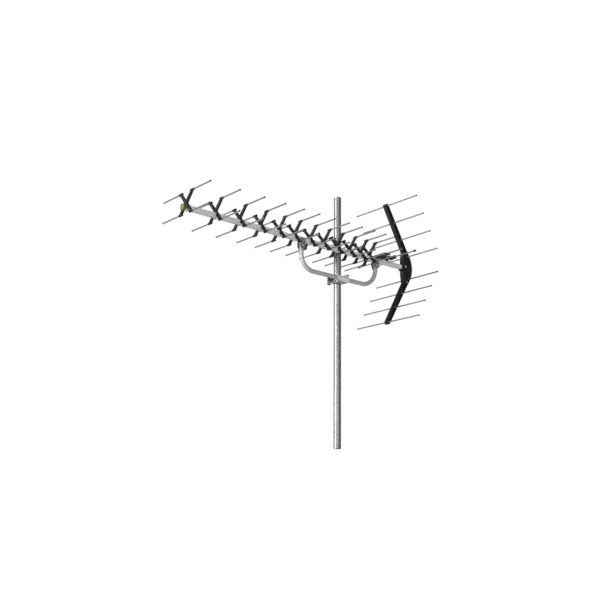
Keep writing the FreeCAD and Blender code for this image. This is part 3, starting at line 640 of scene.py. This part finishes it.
rods = turnedTree("cut_rod", ["radius", "length", "rim"], rodOutline)
plugs = turnedTree("rod_plug", ["radius", "length", "rim"], plugOutline)
sleeveCaps = turnedTree("sleeve_cap", ["radius", "length", "bore", "dome"], sleeveCapOutline)
barrels = turnedTree("rivet_barrel", ["radius", "length", "eye", "deep", "rim"], barrelOutline)
heads = turnedTree("bolt_head", ["radius", "length"], headOutline)
washers = turnedTree("washer", ["radius", "length", "bore"], washerOutline)
threads = threadTree("screw_thread")
ribs = ribTree("moulded_rib")
print("trees ready")

# Boom, rods and plugs


def alongY(box):
    # The two ends of a bar that lies along Y, the one nearer the boom first.
    low, high = box
    centre = (low + high) / 2
    near, far = sorted((high.y, low.y), key=lambda y: abs(y - boomAxis.y))
    return Vector((centre.x, near, centre.z)), Vector((centre.x, far, centre.z))


def rodMeshes(boxes, sizes, slotName):
    # Round bars in place of boxes, one run of the tree for each length.
    groups = {}
    for box in boxes:
        near, far = alongY(box)
        groups.setdefault(round((far - near).length, 5), []).append((near, (far - near).normalized()))
    meshes = []
    for length, places in groups.items():
        given = {"radius": sizes["diameter"] * mm / 2, "rim": sizes["rim"] * mm, "length": length,
                 "sides": sizes["sides"]}
        meshes.append(grownOn(rods, places, given, slotName))
    return meshes


boomLow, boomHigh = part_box("boom")
boomAxis = (boomLow + boomHigh) / 2

rodSizes = {"diameter": 6.0, "rim": 0.35, "sides": 20}


def addRods():
    names = ["director_rods_%02d" % n for n in range(1, 13)]
    boxes = [box for name in names for box in solidBoxes(name)]
    slot = "element_aluminium"
    addMerged("director_rods", rodMeshes(boxes, rodSizes, slot), slot, names)
    for name in ["reflector_rod_%d" % n for n in range(1, 9)]:
        addMerged("round_" + name, rodMeshes([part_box(name)], rodSizes, slot), slot, [name])
    for name in ("coupling_rod", "driven_rods"):
        addMerged("round_" + name, rodMeshes(solidBoxes(name), rodSizes, slot), slot, [name])


plugSizes = {"rim": 0.45, "sides": 20}


def addPlugs():
    boxes = solidBoxes("rod_end_caps")
    places = []
    for box in boxes:
        near, far = alongY(box)
        places.append((near, (far - near).normalized()))
    low, high = boxes[0]
    sizes = {"radius": (high.x - low.x) / 2, "length": high.y - low.y, "rim": plugSizes["rim"] * mm,
             "sides": plugSizes["sides"]}
    mesh = grownOn(plugs, places, sizes, "black_cap_plastic")
    addPiece("rod_plugs", mesh, "black_cap_plastic", standsFor=["rod_end_caps"])


drivenCapSizes = {"bore": 6.1, "dome": 3.0, "sides": 24, "gripRings": 4, "gripWidth": 0.8,
                  "gripRise": 0.25, "gripRim": 0.2, "gripPitch": 1.8, "gripStart": 2.5}


def addDrivenCaps():
    s = drivenCapSizes
    boxes = solidBoxes("driven_rod_caps")
    low, high = boxes[0]
    radius = (high.x - low.x) / 2 - s["gripRise"] * mm
    places = []
    rings = []
    for box in boxes:
        near, far = alongY(box)
        aim = (far - near).normalized()
        places.append((near, aim))
        for k in range(s["gripRings"]):
            rings.append((near + aim * (s["gripStart"] + k * s["gripPitch"]) * mm, aim))
    slot = "black_cap_plastic"
    cap = grownOn(sleeveCaps, places, {"radius": radius, "length": high.y - low.y,
                                       "bore": s["bore"] * mm / 2, "dome": s["dome"] * mm,
                                       "sides": s["sides"]}, slot)
    grip = grownOn(rods, rings, {"radius": radius + s["gripRise"] * mm, "length": s["gripWidth"] * mm,
                                 "rim": s["gripRim"] * mm, "sides": s["sides"]}, slot)
    addMerged("driven_caps", [cap, grip], slot, ["driven_rod_caps"])


boomSizes = {"corner": 1.6, "cutEdge": 0.2, "segments": 4, "slack": 0.01}
frontCapSizes = {"edge": 0.8, "segments": 3}


def boomEdge(edge):
    # The tube's four long corners are drawn round, its cut ends and holes only lose their burr.
    s = boomSizes
    a, b = (vert.co - boomAxis for vert in edge.verts)
    half = (boomHigh - boomLow) / 2
    slack = s["slack"] * mm
    corner = all(abs(abs(p.y) - half.y) < slack and abs(abs(p.z) - half.z) < slack for p in (a, b))
    return 1.0 if corner else s["cutEdge"] / s["corner"]


addRods()
addPlugs()
addDrivenCaps()
softened("round_edged_boom", ["boom"], boomSizes["corner"], boomSizes["segments"], weigh=boomEdge)
softened("front_cap", ["boom_front_cap"], **frontCapSizes)
print("boom and rods made")

# Holders, with ribs across the channels of their arms

holderSizes = {"edge": 0.3, "channelWidth": 7.0, "channelDepth": 2.5, "ribThickness": 0.9,
               "ribDrop": 0.3, "depth": 9.0, "sleeve": 9.5, "flat": 0.9,
               "upperTip": (38.6, 62.0), "lowerTip": (35.3, -22.6), "crossing": 17.5,
               "upperRibs": (20.0, 29.0, 38.0), "lowerRibs": (30.0,)}


def holderRibs(x):
    # Cross ribs in the channels of both faces, at distances from the crossing.
    s = holderSizes
    places = []
    for tip, stops in ((s["upperTip"], s["upperRibs"]), (s["lowerTip"], s["lowerRibs"])):
        for side in (-1, 1):
            along = Vector((0.0, side * tip[0], tip[1] - s["crossing"])).normalized()
            for stop in stops:
                for face in (-1, 1):
                    point = boomAxis + Vector((0.0, 0.0, s["crossing"] * mm)) + along * stop * mm
                    point.x = x + face * (s["depth"] - s["channelDepth"]) / 2 * mm
                    places.append((point, along))
    return places


def markDustAndSheen(mesh, x):
    # Marks the floors of the channels, flat faces that lie deep under the arms' two faces, for a lighter
    # grey that is a painted highlight with some chalk dust.
    s = holderSizes
    # The 'dust' attribute carries a painted highlight as well as chalk dust.
    dust = mesh.attributes.new("dust", "FLOAT", "FACE")
    for k, face in enumerate(mesh.polygons):
        deep = s["depth"] / 2 - abs(face.center.x - x) / mm
        floor = abs(face.normal.x) > s["flat"] and abs(deep - s["channelDepth"]) < s["edge"]
        dust.data[k].value = 1.0 if floor else 0.0


def addHolders():
    s = holderSizes
    places = []
    for number in range(1, 13):
        name = "director_holder_%02d" % number
        holder = softened("holder_%02d" % number, [name], s["edge"])
        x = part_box(name)[1].x - s["sleeve"] / 2 * mm
        markDustAndSheen(holder.data, x)
        places += holderRibs(x)
    deep = s["channelDepth"] - s["ribDrop"]
    mesh = grownOn(ribs, places, {"width": s["channelWidth"] * mm, "depth": deep * mm,
                                  "height": s["ribThickness"] * mm}, "black_plastic")
    addPiece("holder_ribs", mesh, "black_plastic")


rivetSizes = {"eye": 3.6, "deep": 4.0, "rim": 0.7, "sides": 24, "shank": 4.0, "shankRim": 0.3}


def addRivets():
    s = rivetSizes
    boomBottom = boomLow.z
    places = []
    shanks = []
    for low, high in solidBoxes("holder_rivets"):
        foot = Vector(((low.x + high.x) / 2, (low.y + high.y) / 2, boomBottom))
        places.append((foot, Vector((0.0, 0.0, -1.0))))
        shanks.append((foot, Vector((0.0, 0.0, 1.0))))
    radius = (high.x - low.x) / 2
    height = boomBottom - low.z
    shank = grownOn(rods, shanks, {"radius": s["shank"] * mm / 2, "length": high.z - boomBottom,
                                   "rim": s["shankRim"] * mm, "sides": s["sides"]}, "rivet_aluminium")
    barrel = grownOn(barrels, places, {"radius": radius, "length": height, "eye": s["eye"] * mm / 2,
                                       "deep": s["deep"] * mm, "rim": s["rim"] * mm,
                                       "sides": s["sides"]}, "rivet_aluminium")
    addMerged("rolled_rivets", [barrel, shank], "rivet_aluminium", ["holder_rivets"])


addHolders()
addRivets()
print("holders and rivets made")

# Support arm and its cheeks


armSizes = {"diameter": 19.0, "wall": 1.5, "frontBend": 65.0, "rearBend": 84.0, "around": 40,
            "bendSteps": 24, "squareEnd": 1.0}


def tubeMesh(line, radius, wall, around, name):
    # An open tube along a line in the plane y = constant, with both ends cut square.
    bm = bmesh.new()
    rings = []
    for k, point in enumerate(line):
        ahead = (line[min(k + 1, len(line) - 1)] - line[max(k - 1, 0)]).normalized()
        side = Vector((0.0, 1.0, 0.0))
        up = ahead.cross(side).normalized()
        rings.append((point, side, up))

    def skin(size):
        loops = []
        for point, side, up in rings:
            loops.append([bm.verts.new(point + (side * math.cos(a) + up * math.sin(a)) * size)
                          for a in [2 * math.pi * n / around for n in range(around)]])
        return loops

    outer = skin(radius)
    inner = skin(radius - wall)
    for loops in (outer, inner):
        for k in range(len(loops) - 1):
            for n in range(around):
                m = (n + 1) % around
                bm.faces.new((loops[k][n], loops[k][m], loops[k + 1][m], loops[k + 1][n]))
    for end in (0, -1):
        for n in range(around):
            m = (n + 1) % around
            bm.faces.new((outer[end][n], outer[end][m], inner[end][m], inner[end][n]))
    bmesh.ops.recalc_face_normals(bm, faces=bm.faces)
    return plainMesh(bm, name)


def armLine():
    # Leg, bend, run under the boom, bend, leg: the rear end first.
    s = armSizes
    low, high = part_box("support_arm")
    half = (high.y - low.y) / 2
    y = (low.y + high.y) / 2
    legs = ((low.x + half, s["rearBend"] * mm, 1), (high.x - half, s["frontBend"] * mm, -1))
    lines = []
    for x, bend, side in legs:
        centre = Vector((x + side * bend, y, low.z + half + bend))
        arc = []
        for k in range(s["bendSteps"] + 1):
            turn = 0.5 * math.pi * k / s["bendSteps"]
            arc.append(centre + Vector((-side * math.cos(turn), 0.0, -math.sin(turn))) * bend)
        leg = [Vector((x, y, high.z)), Vector((x, y, high.z - s["squareEnd"] * mm))]
        lines.append(leg + arc)
    return lines[0] + list(reversed(lines[1]))


def addArm():
    s = armSizes
    mesh = tubeMesh(armLine(), s["diameter"] * mm / 2, s["wall"] * mm, s["around"], "bent_arm")
    shaded(mesh, 35.0)
    addPiece("bent_arm", mesh, "arm_aluminium", standsFor=["support_arm"])


# Fasteners that lie along Y, each in the box of the solid that it stands for

boltSizes = {"sides": 28, "washer": 12.6, "washerThick": 0.9, "thread": 6.0, "pitch": 1.0, "ridge": 0.28,
             "rim": 0.5, "shankRim": 0.05, "smooth": 40.0, "ridgeSmooth": 60.0}
wingSizes = {"edge": 0.7, "segments": 3, "sharp": 25.0}


def washeredBolt(box, headDiameter, headLength, headSides, threadLength, flip):
    # Head and washer at one end, a thread towards the other.
    s = boltSizes
    steel = "bright_steel"
    low, high = box
    centre = (low + high) / 2
    headEnd, tailEnd = (low.y, high.y) if flip else (high.y, low.y)
    aim = Vector((0.0, 1.0 if headEnd > tailEnd else -1.0, 0.0))
    seat = Vector((centre.x, headEnd, centre.z)) - aim * headLength * mm
    tail = Vector((centre.x, tailEnd, centre.z))
    radius = s["thread"] * mm / 2
    core = radius - 0.5 * s["ridge"] * mm
    ring = s["washerThick"]
    head = grownOn(heads, [(seat + aim * ring * mm, aim)],
                   {"radius": headDiameter * mm / 2, "length": (headLength - ring) * mm,
                    "sides": headSides}, steel)
    washer = grownOn(washers, [(seat, aim)], {"radius": s["washer"] * mm / 2, "length": ring * mm,
                                              "bore": radius, "sides": s["sides"]}, steel)
    plain = (seat - tail).length - threadLength * mm
    shank = grownOn(rods, [(seat, -aim)], {"radius": radius, "length": plain, "rim": s["shankRim"] * mm,
                                           "sides": s["sides"]}, steel)
    threadStart = [(seat - aim * plain, -aim)]
    screw = grownOn(rods, threadStart, {"radius": core, "length": threadLength * mm,
                                        "rim": s["rim"] * mm, "sides": s["sides"]}, steel)
    ridge = grownOn(threads, threadStart, {"length": (threadLength - 2 * s["rim"]) * mm, "radius": core,
                                           "pitch": s["pitch"] * mm, "ridge": s["ridge"] * mm},
                    steel, s["ridgeSmooth"])
    return [head, washer, shank, screw, ridge]


def twoHeaded(box, headDiameter, rise, headSides, core, coreSides):
    # A rivet or through screw: a shank with the same head at both ends.
    steel = "bright_steel"
    low, high = box
    centre = (low + high) / 2
    meshes = []
    for end, side in ((low.y, -1.0), (high.y, 1.0)):
        seat = Vector((centre.x, end - side * rise * mm, centre.z))
        meshes.append(grownOn(heads, [(seat, Vector((0.0, side, 0.0)))],
                              {"radius": headDiameter * mm / 2, "length": rise * mm, "sides": headSides},
                              steel))
    foot = Vector((centre.x, low.y + rise * mm, centre.z))
    meshes.append(grownOn(rods, [(foot, Vector((0.0, 1.0, 0.0)))],
                          {"radius": core * mm / 2, "length": high.y - low.y - 2 * rise * mm,
                           "rim": boltSizes["shankRim"] * mm, "sides": coreSides}, steel))
    return meshes


cheekSizes = {"edge": 0.4, "boltHead": 12.0, "boltHeadLength": 4.0, "boltThread": 14.0,
              "rivetHead": 9.0, "rivetRise": 2.2, "rivetCore": 5.0}


def addCheeks():
    s = cheekSizes
    sides = boltSizes["sides"]
    softened("front_cheeks", ["arm_cheeks_front"], s["edge"])
    softened("rear_cheeks", ["arm_cheeks_rear"], s["edge"])
    meshes = []
    for box in solidBoxes("cheek_bolts"):
        meshes += washeredBolt(box, s["boltHead"], s["boltHeadLength"], sides, s["boltThread"], False)
    addMerged("cross_bolts", meshes, "bright_steel", ["cheek_bolts"], boltSizes["smooth"])
    meshes = []
    for box in solidBoxes("cheek_rivets"):
        meshes += twoHeaded(box, s["rivetHead"], s["rivetRise"], sides, s["rivetCore"], sides)
    addMerged("boom_rivets", meshes, "bright_steel", ["cheek_rivets"], boltSizes["smooth"])
    softened("black_wing_knobs", ["cheek_wing_nuts"], **wingSizes)


addArm()
addCheeks()
print("support arm and cheeks made")

# Mast clamp and mast

clampSizes = {"edge": 0.45, "boltHead": 11.0, "boltHeadLength": 4.0, "boltHeadSides": 6,
              "boltThread": 26.0}


def addClamp():
    s = clampSizes
    softened("saddle_plate", ["clamp_saddle"], s["edge"])
    # The steel keeper takes the boom's light aluminium finish, a painted highlight on its trough.
    softened("keeper_plate", ["clamp_keeper"], s["edge"], slotName="boom_aluminium")
    softened("toothed_jaw", ["clamp_jaw"], s["edge"])
    softened("wing_nuts", ["clamp_wing_nuts"], **wingSizes)
    meshes = []
    for box in solidBoxes("clamp_bolts"):
        meshes += washeredBolt(box, s["boltHead"], s["boltHeadLength"], s["boltHeadSides"],
                               s["boltThread"], True)
    addMerged("long_bolts", meshes, "bright_steel", ["clamp_bolts"], boltSizes["smooth"])


mastSizes = {"wall": 1.6, "around": 72, "rim": 0.5, "seamWidth": 1.6, "seamRise": 0.25,
             "seamHeading": 250.0, "rings": 12}


def addMast():
    # A round pipe with broken rims and a low weld bead along its back.
    s = mastSizes
    low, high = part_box("mast_pipe")
    radius = (high.x - low.x) / 2
    rim = s["rim"] * mm
    inside = radius - s["wall"] * mm
    stops = [(inside, low.z + rim), (inside + rim, low.z), (radius - rim, low.z), (radius, low.z + rim)]
    span = high.z - low.z - 2 * rim
    stops += [(radius, low.z + rim + span * k / s["rings"]) for k in range(1, s["rings"] + 1)]
    stops += [(radius - rim, high.z), (inside + rim, high.z), (inside, high.z - rim)]
    bm = bmesh.new()
    loops = []
    for size, z in stops:
        loop = []
        for n in range(s["around"]):
            turn = 2 * math.pi * n / s["around"]
            loop.append(bm.verts.new((size * math.cos(turn), size * math.sin(turn), z)))
        loops.append(loop)
    for k in range(len(loops)):
        here, there = loops[k], loops[(k + 1) % len(loops)]
        for n in range(s["around"]):
            m = (n + 1) % s["around"]
            bm.faces.new((here[n], here[m], there[m], there[n]))
    bmesh.ops.recalc_face_normals(bm, faces=bm.faces)
    back = math.radians(s["seamHeading"])
    beadHalf = s["seamWidth"] * mm / radius / 2
    beadRise = s["seamRise"] * mm
    section = ((-beadHalf, -rim), (-beadHalf / 2, beadRise), (beadHalf / 2, beadRise), (beadHalf, -rim))
    bead = [bm.verts.new(((radius + rise) * math.cos(back + a), (radius + rise) * math.sin(back + a), z))
            for z in (low.z + rim, high.z - rim) for a, rise in section]
    sides = [bm.faces.new((bead[k], bead[(k + 1) % 4], bead[4 + (k + 1) % 4], bead[4 + k]))
             for k in range(4)]
    sides += [bm.faces.new(bead[:4]), bm.faces.new(bead[4:])]
    bmesh.ops.recalc_face_normals(bm, faces=sides)
    mesh = plainMesh(bm, "round_mast")
    shaded(mesh, 40.0)
    addPiece("round_mast", mesh, "galvanised_pipe", "mast", ["mast_pipe"])


addClamp()
addMast()
print("clamp and mast made")

# Feed and reflector

feedSizes = {"edge": 0.4, "screwHead": 5.0, "screwRise": 1.2, "screwInset": 5.0, "screwSides": 20,
             "ribs": 5, "ribWidth": 1.2, "ribRise": 0.5, "ribPitch": 5.5, "ribLength": 21.0}


def addFeed():
    s = feedSizes
    softened("feed_box", ["feed_housing"], s["edge"])
    softened("feed_lid", ["feed_cover"], s["edge"])
    low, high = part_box("feed_cover")
    seatZ = high.z
    up = Vector((0.0, 0.0, 1.0))
    inset = s["screwInset"] * mm
    corners = ((low.x + inset, low.y + inset), (low.x + inset, high.y - inset),
               (high.x - inset, boomAxis.y - 2 * inset), (high.x - inset, boomAxis.y + 2 * inset))
    places = [(Vector((x, y, seatZ)), up) for x, y in corners]
    mesh = grownOn(heads, places, {"radius": s["screwHead"] * mm / 2, "length": s["screwRise"] * mm,
                                   "sides": s["screwSides"]}, "bright_steel")
    addPiece("lid_screws", mesh, "bright_steel")
    middle = (low.x + high.x) / 2
    places = [(Vector((middle + (k - (s["ribs"] - 1) / 2) * s["ribPitch"] * mm, boomAxis.y, seatZ)), up)
              for k in range(s["ribs"])]
    mesh = grownOn(ribs, places, {"width": s["ribLength"] * mm, "depth": s["ribWidth"] * mm,
                                  "height": 2 * s["ribRise"] * mm}, nodeSlot["feed_cover"])
    addPiece("lid_ribs", mesh, nodeSlot["feed_cover"])


coaxSizes = {"edge": 0.25, "outside": 9.5, "thread": 7.5, "threadLift": 0.5, "threadSink": 0.1,
             "pitch": 1.1, "ridge": 0.22, "pin": 0.9, "pinStart": 6.0, "pinLength": 5.0, "pinRim": 0.15,
             "pinSides": 12}


def addCoax():
    s = coaxSizes
    softened("coax_socket", ["coax_connector"], s["edge"])
    low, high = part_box("coax_connector")
    centre = (low + high) / 2
    down = Vector((0.0, 0.0, -1.0))
    start = Vector((centre.x, centre.y, low.z + (s["thread"] + s["threadLift"]) * mm))
    ridge = grownOn(threads, [(start, down)], {"length": s["thread"] * mm,
                                               "radius": (s["outside"] / 2 - s["threadSink"]) * mm,
                                               "pitch": s["pitch"] * mm, "ridge": s["ridge"] * mm},
                    "nickel_plate", boltSizes["ridgeSmooth"])
    pin = grownOn(rods, [(Vector((centre.x, centre.y, low.z + s["pinStart"] * mm)), down)],
                  {"radius": s["pin"] * mm / 2, "length": s["pinLength"] * mm, "rim": s["pinRim"] * mm,
                   "sides": s["pinSides"]}, "contact_brass")
    addPiece("coax_thread", ridge, "nickel_plate")
    addPiece("coax_pin", pin, "contact_brass")


reflectorSizes = {"pocketDepth": 4.0, "thickness": 20.0, "flange": 3.5, "boss": 8.0, "width": 24.0,
                  "tipWidth": 19.0, "ribWidth": 1.8, "ribDrop": 0.4, "bays": 3, "pocketStart": 91.5,
                  "firstRod": 62.2, "pitch": 84.3, "start": 88.0, "end": 325.1, "edge": 0.6,
                  "segments": 3}
bracketBolt = {"rise": 4.0, "headSides": 6, "core": 6.0, "coreSides": 20}
bracketScrew = {"rise": 2.2, "headSides": 24, "core": 4.0, "coreSides": 20}
widestScrewHead = 10.0


def reflectorRibs(numbers):
    # Zigzag ribs in an arm's side pockets, between the bosses of its rods, numbered from the boom.
    s = reflectorSizes
    centres = []
    for number in numbers:
        low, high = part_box("reflector_rod_%d" % number)
        centres.append((low + high) / 2)
    along = (centres[-1] - centres[0]).normalized()
    across = Vector((-along.z, 0.0, along.x))
    base = centres[0] - along * s["firstRod"] * mm
    bars = []
    for n in range(1, len(numbers)):
        rodAt = s["firstRod"] + n * s["pitch"]
        first = max(rodAt - s["pitch"] + s["boss"], s["pocketStart"])
        last = rodAt - s["boss"]
        bays = s["bays"] if n > 1 else s["bays"] - 1
        for k in range(bays):
            a = first + (last - first) * k / bays
            b = first + (last - first) * (k + 1) / bays
            share = (0.5 * (a + b) - s["start"]) / (s["end"] - s["start"])
            half = s["width"] / 2 + (s["tipWidth"] - s["width"]) / 2 * share - s["flange"]
            swing = half if k % 2 else -half
            bars.append((base + along * a * mm - across * swing * mm,
                         base + along * b * mm + across * swing * mm))
    return bars


def addReflector():
    s = reflectorSizes
    softened("upper_arm", ["reflector_arm_upper"], s["edge"], s["segments"])
    softened("lower_arm", ["reflector_arm_lower"], s["edge"], s["segments"])
    softened("bracket", ["reflector_bracket"], s["edge"], s["segments"])
    deep = s["pocketDepth"] - s["ribDrop"]
    meshes = []
    for start, end in reflectorRibs((4, 3, 2, 1)) + reflectorRibs((5, 6, 7, 8)):
        places = []
        for face in (-1, 1):
            point = (start + end) / 2
            point.y = boomAxis.y + face * (s["thickness"] - s["pocketDepth"]) / 2 * mm
            places.append((point, (end - start).normalized()))
        meshes.append(grownOn(ribs, places, {"width": deep * mm, "depth": s["ribWidth"] * mm,
                                             "height": (end - start).length}, "black_plastic"))
    addPiece("arm_ribs", merged(meshes, "arm_ribs"), "black_plastic")
    meshes = []
    for low, high in solidBoxes("reflector_bolts"):
        width = (high.x - low.x) / mm
        kind = bracketBolt if width > widestScrewHead else bracketScrew
        meshes += twoHeaded((low, high), width, **kind)
    addMerged("bracket_fasteners", meshes, "bright_steel", ["reflector_bolts"], boltSizes["smooth"])


addFeed()
addCoax()
addReflector()
print("feed and reflector made")
